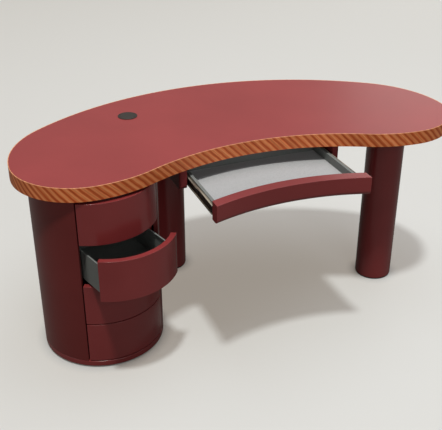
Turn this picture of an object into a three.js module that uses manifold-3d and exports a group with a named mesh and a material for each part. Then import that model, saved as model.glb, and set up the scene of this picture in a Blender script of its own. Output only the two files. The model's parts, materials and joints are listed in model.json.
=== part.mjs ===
// A bean-shaped writing desk: a thick top on a round drawer pedestal and two round legs, with a curved
// drawer under its waist. Millimetres, +Z up. The user sits at -Y and looks along +Y.
// The centre drawer and the second pedestal drawer stand open, as in the photograph.

import * as THREE from "three";
import { mergeVertices } from "three/addons/utils/BufferGeometryUtils.js";
import Module from "manifold-3d";

const wasm = await Module();
wasm.setup();

// Shared sizes
const deskHeight = 750;
const seatGap = 0.3; // between pieces that touch
const overrun = 5; // how far a cutting body runs past what it cuts
const facetSag = 0.3; // how far a facet may lie inside its true arc
const roundSegments = 56;

// Table top
const topThickness = 53;
const edgingThickness = 3;
const sheetThickness = 2;
const backDepth = 411; // from the middle of the bean to its back edge
const waistDepth = 244; // from the middle of the bean to its waist
const backRadius = 1190;
const backHalfAngle = 38; // degrees
const shoulderRadius = 393;
const lobeRadius = 246;
const flankRadius = 473;

// Cable outlet in the top
const outletX = -367;
const outletY = 171;
const outletHoleRadius = 36;
const outletFlangeRadius = 39;
const outletBoreRadius = 30;
const outletWall = 2.5;
const outletFlangeThickness = 2;
const lidThickness = 6;
const lidClearance = 0.5;

// Legs
const legRadius = 76;
const legWall = 3;
const legPlateThickness = 6;
const legGlideHeight = 6;
const legGlideInset = 2;
const legGlideSpigot = 14;
const rightLeg = { x: 622, y: -185 };
const backLeg = { x: -199, y: 224 };

// Pedestal
const pedestalX = -601;
const pedestalY = -174;
const pedestalTurn = 16; // degrees that its drawers face towards the sitter
const pedestalRadius = 231;
const shellThickness = 16;
const seamHalfAngle = 45.2; // degrees, from the middle of the drawer fronts to the end of the shell
const seamGap = 4.5; // round each drawer front
const frontThickness = 21;
const plinthTop = 28;
const plinthBottom = 6;
const pedestalGlideInset = 10;
const pedestalTopThickness = 16;
const pedestalTopInset = 7; // behind the shell's inside, where it passes over the drawer fronts
const shadowGap = 11; // between the top drawer's front and the table top
const drawerCount = 4;
const openDrawer = 2; // counted from the top
const openDrawerTravel = 123;
const carcassThickness = 12;
const carcassGap = 7; // between a drawer box and the carcass wall
const carcassFrontGap = 8; // behind the drawer fronts
const carcassBackGap = 7; // before the shell

// Pedestal drawer boxes, bent from sheet steel
const boxSideInset = 8; // from the inner end of the front
const boxBackGap = 20; // from the box's back corners to the shell
const boxWall = 2;
const boxRim = 6;
const boxLift = 6.5; // above the lower edge of the front
const boxDrop = 39; // below the upper edge of the front
const boxFloorRecess = 20; // the room for the runners under the floor

// Runners under the pedestal drawer boxes: a fixed channel, a bar and a channel on the box
const runnerInset = 14; // from the box's side to the middle of its runner
const runnerHalfWidth = 7;
const runnerSheet = 1.5;
const runnerLip = 2;
const runnerClearance = 0.5;
const runnerFrontInset = 33; // behind the front end of the box's side
const runnerBackInset = 7;
const runnerFootDrop = 1; // the fixed channel's foot passes this far under the box's side
const runnerSlot = 1.5; // between the two channels
const runnerUpstand = 24;

// Centre drawer and its housing
const centreDrawerX = 18;
const centreDrawerTravel = 290; // how far it stands open
const housingInside = 596;
const housingPanel = 28;
const panelRounding = 10; // of the panels' outer front edges
const housingBack = 143;
const housingRail = 15;
const housingRailDrop = 40;
const faceY = -234; // the closed front's face on its own centre line
const faceRadius = 910;
const faceThickness = 44;
const faceTopDrop = 7; // below the underside of the top
const faceHeight = 72;
const faceRounding = 18;
const faceArris = 1.5;
const faceSideGap = 1.5;
const trayWall = 12;
const traySideHeight = 45;
const traySideDrop = 22; // the sides' upper edge lies this far below the front's
const trayBack = 125;
const trayFloorThickness = 6;
const trayFloorRise = 6;
const matThickness = 2;

// Slides beside the centre drawer: three channels, one inside the next
const slideSpace = 14.5;
const slideLength = 350;
const slideHeight = 34;
const slideSheet = 1.5;
const slideFlange = 1.9;
const slideRun = 0.6; // running clearance between two channels
const slideDrawerDepth = 9.5;
const slideMiddleDepth = 8.5;
const slideHousingDepth = 8.8;

const undersideZ = deskHeight - topThickness;

const burgundy = { color: 0x843435, roughness: 0.3, metalness: 0 };
const burgundyTop = { color: 0x9f4242, roughness: 0.45, metalness: 0 };
const stripedWood = { color: 0xd07c4a, roughness: 0.5, metalness: 0 };
const backedBoard = { color: 0x4a1f1f, roughness: 0.8, metalness: 0 };
const darkPlastic = { color: 0x322e2a, roughness: 0.6, metalness: 0 };
const blackPlastic = { color: 0x1c1b1b, roughness: 0.7, metalness: 0 };
const anthraciteSteel = { color: 0x757a79, roughness: 0.45, metalness: 0.4 };
const zincSteel = { color: 0xa9aaa8, roughness: 0.35, metalness: 0.9 };
const paleFelt = { color: 0xb7b8ba, roughness: 1, metalness: 0 };

function radians(degrees) {
  return THREE.MathUtils.degToRad(degrees);
}

function addMesh(parent, name, geometry, look) {
  const mesh = new THREE.Mesh(geometry, new THREE.MeshStandardMaterial(look));
  mesh.name = name;
  parent.add(mesh);
  return mesh;
}

function addGroup(parent, x, y, z) {
  const group = new THREE.Group();
  group.position.set(x, y, z);
  parent.add(group);
  return group;
}

// Solids for cutting and joining
function toSolid(geometry) {
  const bare = geometry.clone();
  bare.deleteAttribute("normal");
  bare.deleteAttribute("uv");
  const merged = mergeVertices(bare);
  const vertProperties = new Float32Array(merged.attributes.position.array);
  const triVerts = new Uint32Array(merged.index.array);
  return new wasm.Manifold(new wasm.Mesh({ numProp: 3, vertProperties, triVerts }));
}

function toGeometry(solid) {
  const mesh = solid.getMesh();
  const geometry = new THREE.BufferGeometry();
  geometry.setAttribute("position", new THREE.BufferAttribute(mesh.vertProperties, 3));
  geometry.setIndex(new THREE.BufferAttribute(mesh.triVerts, 1));
  const flat = geometry.toNonIndexed();
  flat.computeVertexNormals();
  return flat;
}

// Outlines. A plan angle is counted from the user's side, -Y, towards +X.
function planPoint(radius, angle) {
  return new THREE.Vector2(radius * Math.sin(angle), -radius * Math.cos(angle));
}

function planArc(radius, from, to, centre = new THREE.Vector2()) {
  const step = 2 * Math.acos(1 - facetSag / radius);
  const count = Math.max(2, Math.ceil(Math.abs(to - from) / step));
  const points = [];
  for (let index = 0; index <= count; index += 1) {
    const angle = from + ((to - from) * index) / count;
    points.push(planPoint(radius, angle).add(centre));
  }
  return points;
}

// How far forward or back a circle about the origin reaches at this distance to its side
function depthAt(radius, halfWidth) {
  return Math.sqrt(radius ** 2 - halfWidth ** 2);
}

function circleHole(x, y, radius) {
  const hole = new THREE.Path();
  hole.absarc(x, y, radius, 0, 2 * Math.PI);
  return hole;
}

function corner(x, y) {
  return new THREE.Vector2(x, y);
}

function rectangle(left, right, low, high) {
  return [corner(left, low), corner(right, low), corner(right, high), corner(left, high)];
}

function mirrored(points) {
  return points.map((point) => corner(-point.x, point.y)).reverse();
}

// Prisms along each axis
function upright(points, bottom, top, holes = []) {
  const shape = new THREE.Shape(points);
  shape.holes = holes;
  const options = { depth: top - bottom, bevelEnabled: false, curveSegments: roundSegments / 4 };
  return new THREE.ExtrudeGeometry(shape, options).translate(0, 0, bottom);
}

function alongY(points, front, back) {
  const prism = upright(points, 0, back - front);
  const turn = new THREE.Matrix4().makeBasis(
    new THREE.Vector3(1, 0, 0),
    new THREE.Vector3(0, 0, 1),
    new THREE.Vector3(0, -1, 0),
  );
  return prism.applyMatrix4(turn).translate(0, back, 0);
}

function alongX(points, left, right) {
  const prism = upright(points, 0, right - left);
  const turn = new THREE.Matrix4().makeBasis(
    new THREE.Vector3(0, 1, 0),
    new THREE.Vector3(0, 0, 1),
    new THREE.Vector3(1, 0, 0),
  );
  return prism.applyMatrix4(turn).translate(left, 0, 0);
}

function block(left, right, front, back, bottom, top) {
  return upright(rectangle(left, right, front, back), bottom, top);
}

// Round bodies about +Z, from a closed profile of radius and height that runs anticlockwise
function turned(profile) {
  const closed = [...profile, profile[0]];
  return new THREE.LatheGeometry(closed, roundSegments).rotateX(Math.PI / 2);
}

function disc(radius, bottom, top) {
  const profile = [corner(0, bottom), corner(radius, bottom), corner(radius, top), corner(0, top)];
  return new THREE.LatheGeometry(profile, roundSegments).rotateX(Math.PI / 2);
}

// A body that carries one section along X, each ring moved in Y by its own offset
function carried(section, stations, offsetAt) {
  const count = section.length;
  const positions = [];
  const indices = [];
  for (const x of stations) {
    section.forEach((point) => positions.push(x, point.x + offsetAt(x), point.y));
  }
  for (let ring = 0; ring < stations.length - 1; ring += 1) {
    for (let side = 0; side < count; side += 1) {
      const near = ring * count + side;
      const next = ring * count + ((side + 1) % count);
      indices.push(near, next, next + count, near, next + count, near + count);
    }
  }
  const last = (stations.length - 1) * count;
  for (const [a, b, c] of THREE.ShapeUtils.triangulateShape(section, [])) {
    indices.push(a, c, b, last + a, last + b, last + c);
  }
  const geometry = new THREE.BufferGeometry();
  geometry.setAttribute("position", new THREE.Float32BufferAttribute(positions, 3));
  geometry.setIndex(indices);
  return toGeometry(toSolid(geometry));
}

// The bean: five tangent arcs on each side, drawn this far inside the edge
function beanArcs() {
  const backAngle = Math.PI - radians(backHalfAngle);
  const back = corner(0, backDepth - backRadius);
  const shoulder = planPoint(backRadius - shoulderRadius, backAngle).add(back);
  const lobe = corner(shoulder.x + shoulderRadius - lobeRadius, shoulder.y);
  const flank = corner(lobe.x, lobe.y + flankRadius - lobeRadius);
  const rise = flank.y + waistDepth;
  const waistRadius = (flank.x ** 2 + rise ** 2 - flankRadius ** 2) / (2 * (flankRadius - rise));
  const waist = corner(0, -waistDepth - waistRadius);
  const waistHalfAngle = Math.atan2(flank.x, flank.y - waist.y);
  return { back, backAngle, shoulder, lobe, flank, waist, waistRadius, waistHalfAngle };
}

function beanOutline(inset) {
  const bean = beanArcs();
  const rightSide = [
    planArc(flankRadius - inset, bean.waistHalfAngle * -1, 0, bean.flank),
    planArc(lobeRadius - inset, 0, Math.PI / 2, bean.lobe),
    planArc(shoulderRadius - inset, Math.PI / 2, bean.backAngle, bean.shoulder),
  ].flatMap((arc) => arc.slice(0, -1));
  const backArc = planArc(backRadius - inset, bean.backAngle, 2 * Math.PI - bean.backAngle, bean.back);
  const leftSide = mirrored(rightSide);
  const waistArc = planArc(
    bean.waistRadius + inset,
    Math.PI + bean.waistHalfAngle,
    Math.PI - bean.waistHalfAngle,
    bean.waist,
  );
  return [...rightSide, ...backArc, ...leftSide, ...waistArc.slice(1, -1)];
}

// Table top: board core, lacquered sheet, wooden edging and cable outlet
function buildTop(desk) {
  const inner = beanOutline(edgingThickness + seatGap);
  const outletHole = () => [circleHole(outletX, outletY, outletHoleRadius)];
  const sheetBottom = deskHeight - sheetThickness;
  addMesh(desk, "top_core", upright(inner, undersideZ, sheetBottom - seatGap, outletHole()), backedBoard);
  addMesh(desk, "top_surface", upright(inner, sheetBottom, deskHeight, outletHole()), burgundyTop);
  const edgingInside = new THREE.Path(beanOutline(edgingThickness));
  addMesh(desk, "edge_band", upright(beanOutline(0), undersideZ, deskHeight, [edgingInside]), stripedWood);
  buildOutlet(desk);
}

function buildOutlet(desk) {
  const outlet = addGroup(desk, outletX, outletY, deskHeight);
  const sleeveRadius = outletHoleRadius - seatGap;
  const mouthRadius = sleeveRadius - outletWall;
  const flangeTop = seatGap + outletFlangeThickness;
  const ledge = flangeTop - lidThickness;
  const sleeve = [
    corner(outletBoreRadius, -topThickness),
    corner(sleeveRadius, -topThickness),
    corner(sleeveRadius, seatGap),
    corner(outletFlangeRadius, seatGap),
    corner(outletFlangeRadius, flangeTop),
    corner(mouthRadius, flangeTop),
    corner(mouthRadius, ledge),
    corner(outletBoreRadius, ledge),
  ];
  addMesh(outlet, "outlet_sleeve", turned(sleeve), darkPlastic);
  const lidRadius = mouthRadius - lidClearance;
  addMesh(outlet, "outlet_lid", disc(lidRadius, ledge + seatGap, flangeTop), darkPlastic);
}

// Legs: a steel tube with a plate let into its top and a foot plugged into its bottom
function buildLeg(desk, side, place) {
  const leg = addGroup(desk, place.x, place.y, 0);
  const bore = legRadius - legWall;
  const tubeBottom = legGlideHeight + seatGap;
  const tubeTop = undersideZ - seatGap;
  const tube = [
    corner(bore, tubeBottom),
    corner(legRadius, tubeBottom),
    corner(legRadius, tubeTop),
    corner(bore, tubeTop),
  ];
  addMesh(leg, `${side}_leg_tube`, turned(tube), burgundy);
  addMesh(leg, `${side}_leg_plate`, disc(bore - seatGap, tubeTop - legPlateThickness, tubeTop), zincSteel);
  const foot = [
    corner(0, 0),
    corner(legRadius - legGlideInset, 0),
    corner(legRadius - legGlideInset, legGlideHeight),
    corner(bore - seatGap, legGlideHeight),
    corner(bore - seatGap, legGlideHeight + legGlideSpigot),
    corner(0, legGlideHeight + legGlideSpigot),
  ];
  const footBody = new THREE.LatheGeometry(foot, roundSegments).rotateX(Math.PI / 2);
  addMesh(leg, `${side}_leg_glide`, footBody, blackPlastic);
}

// Pedestal: plinth, bent shell, top panel and the two walls that carry the runners
const shellInside = pedestalRadius - shellThickness;
const seamAngle = radians(seamHalfAngle);
const frontHalfAngle = seamAngle - seamGap / pedestalRadius;
const frontInside = pedestalRadius - frontThickness;
const boxHalfWidth = frontInside * Math.sin(frontHalfAngle) - boxSideInset;
const boxFrontRadius = frontInside - seatGap;
const boxBack = depthAt(shellInside, boxHalfWidth) - boxBackGap;
const runnerFront = runnerFrontInset - depthAt(boxFrontRadius, boxHalfWidth);
const runnerBack = boxBack - runnerBackInset;
const carcassFace = boxHalfWidth + carcassGap;
const carcassOutside = carcassFace + carcassThickness;
const carcassFront = carcassFrontGap - depthAt(frontInside, carcassOutside);
const carcassBack = depthAt(shellInside, carcassOutside) - carcassBackGap;
const pedestalTopZ = undersideZ - seatGap;
const drawerPitch = (undersideZ - shadowGap - plinthTop) / drawerCount;
const drawerFrontHeight = drawerPitch - seamGap;

function buildCarcass(pedestal) {
  const glideRadius = pedestalRadius - pedestalGlideInset;
  addMesh(pedestal, "pedestal_glide", disc(glideRadius, 0, plinthBottom - seatGap), blackPlastic);
  addMesh(pedestal, "pedestal_plinth", disc(pedestalRadius, plinthBottom, plinthTop), burgundy);
  const shell = [
    ...planArc(pedestalRadius, seamAngle, 2 * Math.PI - seamAngle),
    ...planArc(shellInside, 2 * Math.PI - seamAngle, seamAngle),
  ];
  addMesh(pedestal, "pedestal_shell", upright(shell, plinthTop + seatGap, pedestalTopZ), burgundy);
  const panelRadius = shellInside - seatGap;
  const panelFront = shellInside - pedestalTopInset;
  const panel = [
    ...planArc(panelRadius, seamAngle, 2 * Math.PI - seamAngle),
    ...planArc(panelFront, -seamAngle, seamAngle),
  ];
  const panelBottom = pedestalTopZ - pedestalTopThickness;
  addMesh(pedestal, "pedestal_top_panel", upright(panel, panelBottom, pedestalTopZ), backedBoard);
  const wallBottom = plinthTop + seatGap;
  const wallTop = panelBottom - seatGap;
  const wall = (left, right) => block(left, right, carcassFront, carcassBack, wallBottom, wallTop);
  addMesh(pedestal, "pedestal_right_wall", wall(carcassFace, carcassOutside), burgundy);
  addMesh(pedestal, "pedestal_left_wall", wall(-carcassOutside, -carcassFace), burgundy);
}

// Runner sections, in X and Z, for the right-hand side of one drawer
const runnerX = boxHalfWidth - runnerInset;
const runnerLeft = runnerX - runnerHalfWidth;
const runnerRight = runnerX + runnerHalfWidth;
const footTop = boxLift - runnerFootDrop;
const footBottom = footTop - runnerSheet;
const boxFloorBottom = boxLift + boxFloorRecess;
const channelSpace = (boxFloorBottom - footBottom - runnerSlot) / 2; // height of each channel

function channelOpening() {
  return { left: runnerLeft + runnerSheet, right: runnerRight - runnerSheet };
}

function fixedRunner() {
  const inside = channelOpening();
  const channelTop = footBottom + channelSpace;
  const flangeRight = carcassFace - seatGap;
  return [
    corner(runnerLeft, footBottom),
    corner(flangeRight, footBottom),
    corner(flangeRight, footBottom + runnerUpstand),
    corner(flangeRight - runnerSheet, footBottom + runnerUpstand),
    corner(flangeRight - runnerSheet, footTop),
    corner(runnerRight, footTop),
    corner(runnerRight, channelTop),
    corner(inside.right - runnerLip, channelTop),
    corner(inside.right - runnerLip, channelTop - runnerSheet),
    corner(inside.right, channelTop - runnerSheet),
    corner(inside.right, footTop),
    corner(inside.left, footTop),
    corner(inside.left, channelTop - runnerSheet),
    corner(inside.left + runnerLip, channelTop - runnerSheet),
    corner(inside.left + runnerLip, channelTop),
    corner(runnerLeft, channelTop),
  ];
}

function runnerBar() {
  const inside = channelOpening();
  const barLeft = inside.left + runnerClearance;
  const barRight = inside.right - runnerClearance;
  const webLeft = inside.left + runnerLip + runnerClearance;
  const webRight = inside.right - runnerLip - runnerClearance;
  const low = footTop + runnerClearance;
  const lowHead = footBottom + channelSpace - runnerSheet - runnerClearance;
  const high = boxFloorBottom - runnerSheet - runnerClearance;
  const highHead = boxFloorBottom - channelSpace + runnerSheet + runnerClearance;
  return [
    corner(barLeft, low),
    corner(barRight, low),
    corner(barRight, lowHead),
    corner(webRight, lowHead),
    corner(webRight, highHead),
    corner(barRight, highHead),
    corner(barRight, high),
    corner(barLeft, high),
    corner(barLeft, highHead),
    corner(webLeft, highHead),
    corner(webLeft, lowHead),
    corner(barLeft, lowHead),
  ];
}

function boxRunner() {
  const inside = channelOpening();
  const lipBottom = boxFloorBottom - channelSpace;
  const webBottom = boxFloorBottom - runnerSheet;
  const join = boxFloorBottom + boxWall / 2;
  return [
    corner(runnerLeft, lipBottom),
    corner(inside.left + runnerLip, lipBottom),
    corner(inside.left + runnerLip, lipBottom + runnerSheet),
    corner(inside.left, lipBottom + runnerSheet),
    corner(inside.left, webBottom),
    corner(inside.right, webBottom),
    corner(inside.right, lipBottom + runnerSheet),
    corner(inside.right - runnerLip, lipBottom + runnerSheet),
    corner(inside.right - runnerLip, lipBottom),
    corner(runnerRight, lipBottom),
    corner(runnerRight, join),
    corner(runnerLeft, join),
  ];
}

// A drawer's curved front, its ends square to its face
function drawerFront() {
  const outline = [
    ...planArc(pedestalRadius, -frontHalfAngle, frontHalfAngle),
    ...planArc(frontInside, frontHalfAngle, -frontHalfAngle),
  ];
  return upright(outline, 0, drawerFrontHeight);
}

// The steel box behind it: sides, back, a raised floor and a rim folded inwards
function boxOutline(inset, reach) {
  const half = boxHalfWidth - inset;
  const radius = boxFrontRadius + reach;
  const angle = Math.asin(half / radius);
  return [...planArc(radius, -angle, angle), corner(half, boxBack - inset), corner(-half, boxBack - inset)];
}

function drawerBox() {
  const boxTop = drawerFrontHeight - boxDrop;
  const floorTop = boxFloorBottom + boxWall;
  const body = toSolid(upright(boxOutline(0, 0), boxLift, boxTop));
  const hollow = toSolid(upright(boxOutline(boxWall, overrun), floorTop, boxTop - boxWall));
  const mouth = toSolid(upright(boxOutline(boxRim, overrun), floorTop, boxTop + overrun));
  const inside = boxHalfWidth - boxWall;
  const front = -pedestalRadius - overrun;
  const underside = toSolid(
    block(-inside, inside, front, boxBack + overrun, boxLift - overrun, boxFloorBottom),
  );
  const rightChannel = toSolid(alongY(boxRunner(), runnerFront, runnerBack));
  const leftChannel = toSolid(alongY(mirrored(boxRunner()), runnerFront, runnerBack));
  const box = body.subtract(hollow).subtract(mouth).subtract(underside);
  return toGeometry(box.add(rightChannel).add(leftChannel));
}

function buildPedestalDrawers(pedestal) {
  for (let number = 1; number <= drawerCount; number += 1) {
    const travel = number === openDrawer ? openDrawerTravel : 0;
    const bottom = plinthTop + seamGap + (drawerCount - number) * drawerPitch;
    const fixed = addGroup(pedestal, 0, 0, bottom);
    const middle = addGroup(pedestal, 0, -travel / 2, bottom);
    const drawer = addGroup(pedestal, 0, -travel, bottom);
    addMesh(drawer, `drawer_${number}_front`, drawerFront(), burgundy);
    addMesh(drawer, `drawer_${number}_box`, drawerBox(), anthraciteSteel);
    for (const side of ["left", "right"]) {
      const placed = (section) => (side === "left" ? mirrored(section) : section);
      const rail = alongY(placed(fixedRunner()), runnerFront, runnerBack);
      const bar = alongY(placed(runnerBar()), runnerFront, runnerBack);
      addMesh(fixed, `drawer_${number}_${side}_rail`, rail, zincSteel);
      addMesh(middle, `drawer_${number}_${side}_bar`, bar, zincSteel);
    }
  }
}

function buildPedestal(desk) {
  const pedestal = addGroup(desk, pedestalX, pedestalY, 0);
  pedestal.rotation.z = radians(pedestalTurn);
  buildCarcass(pedestal);
  buildPedestalDrawers(pedestal);
}

// Centre drawer. Its own middle is X 0 here, and it is drawn shut.
const faceTop = undersideZ - faceTopDrop;
const faceBottom = faceTop - faceHeight;
const faceHalfWidth = housingInside / 2 - faceSideGap;
const traySide = housingInside / 2 - slideSpace;
const traySideTop = faceTop - traySideDrop;
const traySideBottom = traySideTop - traySideHeight;
const trayFloorBottom = traySideBottom + trayFloorRise;
const trayFloorTop = trayFloorBottom + trayFloorThickness;
const slideZ = (traySideTop + traySideBottom) / 2;

function faceOffset(x) {
  return faceY - faceRadius + Math.sqrt(faceRadius ** 2 - x ** 2);
}

function faceStations(halfWidth) {
  const half = Math.asin(halfWidth / faceRadius);
  return planArc(faceRadius, -half, half).map((point) => point.x);
}

function behindFace(halfWidth, reach, back) {
  const edge = faceStations(halfWidth).map((x) => corner(x, faceOffset(x) + faceThickness + reach));
  return [...edge, corner(halfWidth, back), corner(-halfWidth, back)];
}

// The front's section in Y and Z: a rounded lower edge at the front and small broken arrises
function faceSection() {
  const rounding = planArc(faceRounding, -Math.PI / 2, 0, corner(faceRounding, faceBottom + faceRounding));
  return [
    ...rounding,
    corner(faceThickness - faceArris, faceBottom),
    corner(faceThickness, faceBottom + faceArris),
    corner(faceThickness, faceTop),
    corner(faceArris, faceTop),
    corner(0, faceTop - faceArris),
  ];
}

function buildCentreDrawer(desk) {
  const drawer = addGroup(desk, centreDrawerX, -centreDrawerTravel, 0);
  const front = carried(faceSection(), faceStations(faceHalfWidth), faceOffset);
  addMesh(drawer, "centre_front", front, burgundy);
  const inside = traySide - trayWall;
  const sideFront = faceOffset(inside) + faceThickness + seatGap;
  const side = (left, right) => block(left, right, sideFront, trayBack, traySideBottom, traySideTop);
  addMesh(drawer, "centre_left_side", side(-traySide, -inside), anthraciteSteel);
  addMesh(drawer, "centre_right_side", side(inside, traySide), anthraciteSteel);
  const fitted = inside - seatGap;
  const backFront = trayBack - trayWall;
  const back = block(-fitted, fitted, backFront, trayBack, trayFloorBottom, traySideTop);
  addMesh(drawer, "centre_back", back, anthraciteSteel);
  const floor = behindFace(fitted, seatGap, backFront - seatGap);
  addMesh(drawer, "centre_floor", upright(floor, trayFloorBottom, trayFloorTop), anthraciteSteel);
  const matBottom = trayFloorTop + seatGap;
  addMesh(drawer, "centre_mat", upright(floor, matBottom, matBottom + matThickness), paleFelt);
  return drawer;
}

// Housing: two side panels under the top and a rail across their back
function buildHousing(desk) {
  const housing = addGroup(desk, centreDrawerX, 0, 0);
  const inside = housingInside / 2;
  const top = undersideZ - seatGap;
  const frontY = faceOffset(inside);
  const roundingCentre = corner(frontY + faceRounding, faceBottom + faceRounding);
  const outline = [
    ...planArc(faceRounding, -Math.PI / 2, 0, roundingCentre),
    corner(housingBack, faceBottom),
    corner(housingBack, top),
    corner(frontY, top),
  ];
  const outside = inside + housingPanel;
  const edgeY = frontY + panelRounding;
  const plan = [
    corner(inside - overrun, frontY - overrun),
    corner(outside - panelRounding, frontY - overrun),
    ...planArc(panelRounding, 0, Math.PI / 2, corner(outside - panelRounding, edgeY)),
    corner(outside + overrun, edgeY),
    corner(outside + overrun, housingBack + overrun),
    corner(inside - overrun, housingBack + overrun),
  ];
  const panel = (outer, left, right) => {
    const sides = toSolid(upright(outer, faceBottom - overrun, top + overrun));
    return toGeometry(toSolid(alongX(outline, left, right)).intersect(sides));
  };
  addMesh(housing, "housing_left_panel", panel(mirrored(plan), -outside, -inside), burgundy);
  addMesh(housing, "housing_right_panel", panel(plan, inside, outside), burgundy);
  const half = inside - seatGap;
  const railBottom = faceBottom + housingRailDrop;
  const rail = block(-half, half, housingBack - housingRail, housingBack, railBottom, top);
  addMesh(housing, "housing_back_rail", rail, backedBoard);
  return housing;
}

// Slide sections, in X and Z, for the right-hand side. The drawer's channel and the middle one open
// towards the housing, and the housing's channel, the smallest, opens towards the drawer.
function channel(webLeft, webRight, lip, halfHeight, flange) {
  const sheetInside = halfHeight - flange;
  const webIn = lip < webLeft ? webLeft : webRight;
  const webOut = lip < webLeft ? webRight : webLeft;
  const outline = [
    corner(webOut, -halfHeight),
    corner(webOut, halfHeight),
    corner(lip, halfHeight),
    corner(lip, sheetInside),
    corner(webIn, sheetInside),
    corner(webIn, -sheetInside),
    corner(lip, -sheetInside),
    corner(lip, -halfHeight),
  ];
  return outline.map((point) => corner(point.x, point.y + slideZ));
}

function slideSections() {
  const tray = traySide + seatGap;
  const innerHalf = slideHeight / 2;
  const inner = channel(tray, tray + slideSheet, tray + slideDrawerDepth, innerHalf, slideFlange);
  const middleWall = tray + slideSheet + slideRun;
  const middleHalf = innerHalf - slideFlange - slideRun;
  const middleLip = middleWall + slideMiddleDepth;
  const middle = channel(middleWall, middleWall + slideSheet, middleLip, middleHalf, slideFlange);
  const wall = housingInside / 2 - seatGap;
  const outerHalf = middleHalf - slideFlange - slideRun;
  const outer = channel(wall - slideSheet, wall, wall - slideHousingDepth, outerHalf, slideFlange);
  return { outer, middle, inner };
}

function buildCentreSlides(desk, housing, drawer) {
  const middleGroup = addGroup(desk, centreDrawerX, -centreDrawerTravel / 2, 0);
  const sections = slideSections();
  const back = trayBack - seatGap;
  const front = back - slideLength;
  for (const side of ["left", "right"]) {
    const placed = (section) => (side === "left" ? mirrored(section) : section);
    const body = (section) => alongY(placed(section), front, back);
    addMesh(housing, `centre_${side}_slide_outer`, body(sections.outer), zincSteel);
    addMesh(middleGroup, `centre_${side}_slide_middle`, body(sections.middle), zincSteel);
    addMesh(drawer, `centre_${side}_slide_inner`, body(sections.inner), zincSteel);
  }
}

// The origin is on the floor, in the middle of the footprint with the two drawers open
function footprintMiddle() {
  const front = faceOffset(faceHalfWidth) - centreDrawerTravel;
  return (front + backDepth) / 2;
}

const desk = new THREE.Group();
const frame = addGroup(desk, 0, -footprintMiddle(), 0);
buildTop(frame);
buildLeg(frame, "right", rightLeg);
buildLeg(frame, "back", backLeg);
buildPedestal(frame);
const centreDrawer = buildCentreDrawer(frame);
const housing = buildHousing(frame);
buildCentreSlides(frame, housing, centreDrawer);

export default desk;
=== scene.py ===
import json
import math

import bpy
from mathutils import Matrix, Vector


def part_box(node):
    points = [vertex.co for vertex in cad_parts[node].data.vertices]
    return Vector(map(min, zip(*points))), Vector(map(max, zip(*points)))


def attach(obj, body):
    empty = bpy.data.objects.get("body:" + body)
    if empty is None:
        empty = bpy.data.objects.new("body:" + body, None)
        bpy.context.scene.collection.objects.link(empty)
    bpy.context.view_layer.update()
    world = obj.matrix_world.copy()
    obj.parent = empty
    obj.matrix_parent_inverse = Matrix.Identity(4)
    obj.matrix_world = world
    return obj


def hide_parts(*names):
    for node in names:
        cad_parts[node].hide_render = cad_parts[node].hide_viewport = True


# A bean-shaped writing desk with a round drawer pedestal, two round legs and a curved centre drawer.
# Metres, +Z up, the sitter at -Y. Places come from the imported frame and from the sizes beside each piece.

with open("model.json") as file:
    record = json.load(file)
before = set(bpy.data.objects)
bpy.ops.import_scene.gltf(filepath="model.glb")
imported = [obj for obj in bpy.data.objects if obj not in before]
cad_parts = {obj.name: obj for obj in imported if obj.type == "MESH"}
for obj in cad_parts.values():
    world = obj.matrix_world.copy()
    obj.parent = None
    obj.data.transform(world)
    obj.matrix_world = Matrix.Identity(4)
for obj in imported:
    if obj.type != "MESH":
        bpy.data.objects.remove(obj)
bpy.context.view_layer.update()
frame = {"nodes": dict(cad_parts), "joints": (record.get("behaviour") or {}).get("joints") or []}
print("frame loaded:", len(frame["nodes"]), "nodes")

fullTurn = 2 * math.pi
quarterTurn = math.pi / 2
up = Vector((0, 0, 1))

shaping = {
    "mergeDistance": 0.00002,
    "flatAngle": 0.5,       # degrees within which a copied node's triangles count as one flat face
    "creaseAngle": 40,      # degrees past which an edge gets its arris
    "smoothAngle": 50,      # degrees up to which neighbours shade as one surface
    "chord": 0.008,         # length of one step along a plan curve
    "fewestSteps": 3,       # along a plan curve, however short
    "latheSteps": 112,
    "thinSegments": 1,      # across an arris on thin sheet,
    "plainSegments": 2,     # on most pieces,
    "roundSegments": 3,     # and where it is wide or catches the eye
}


# A single point in edit mode, from which sections and outlines are drawn
def startPoint(name, place):
    bpy.ops.object.select_all(action="DESELECT")
    bpy.ops.mesh.primitive_plane_add(size=1)
    piece = bpy.context.object
    piece.name = piece.data.name = name
    bpy.ops.object.mode_set(mode="EDIT")
    bpy.ops.mesh.select_mode(type="VERT")
    bpy.ops.mesh.merge(type="CENTER")
    bpy.ops.transform.translate(value=place)
    return piece


def drawOut(path):
    for before, after in zip(path, path[1:]):
        bpy.ops.mesh.extrude_region_move(TRANSFORM_OT_translate={"value": Vector(after) - Vector(before)})


# Blender without a window spins clockwise, so the angle's sign is turned
def spinOut(centre, angle, steps):
    bpy.ops.mesh.spin(steps=steps, angle=-angle, center=centre, axis=up)


def fillAll():
    bpy.ops.mesh.select_all(action="SELECT")
    bpy.ops.mesh.remove_doubles(threshold=shaping["mergeDistance"])
    bpy.ops.mesh.edge_face_add()


def closeUp():
    bpy.ops.mesh.select_all(action="SELECT")
    bpy.ops.mesh.remove_doubles(threshold=shaping["mergeDistance"])
    bpy.ops.mesh.normals_make_consistent(inside=False)
    bpy.ops.object.mode_set(mode="OBJECT")


def openForEditing(piece):
    bpy.ops.object.select_all(action="DESELECT")
    bpy.context.view_layer.objects.active = piece
    piece.select_set(True)
    bpy.ops.object.mode_set(mode="EDIT")


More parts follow.
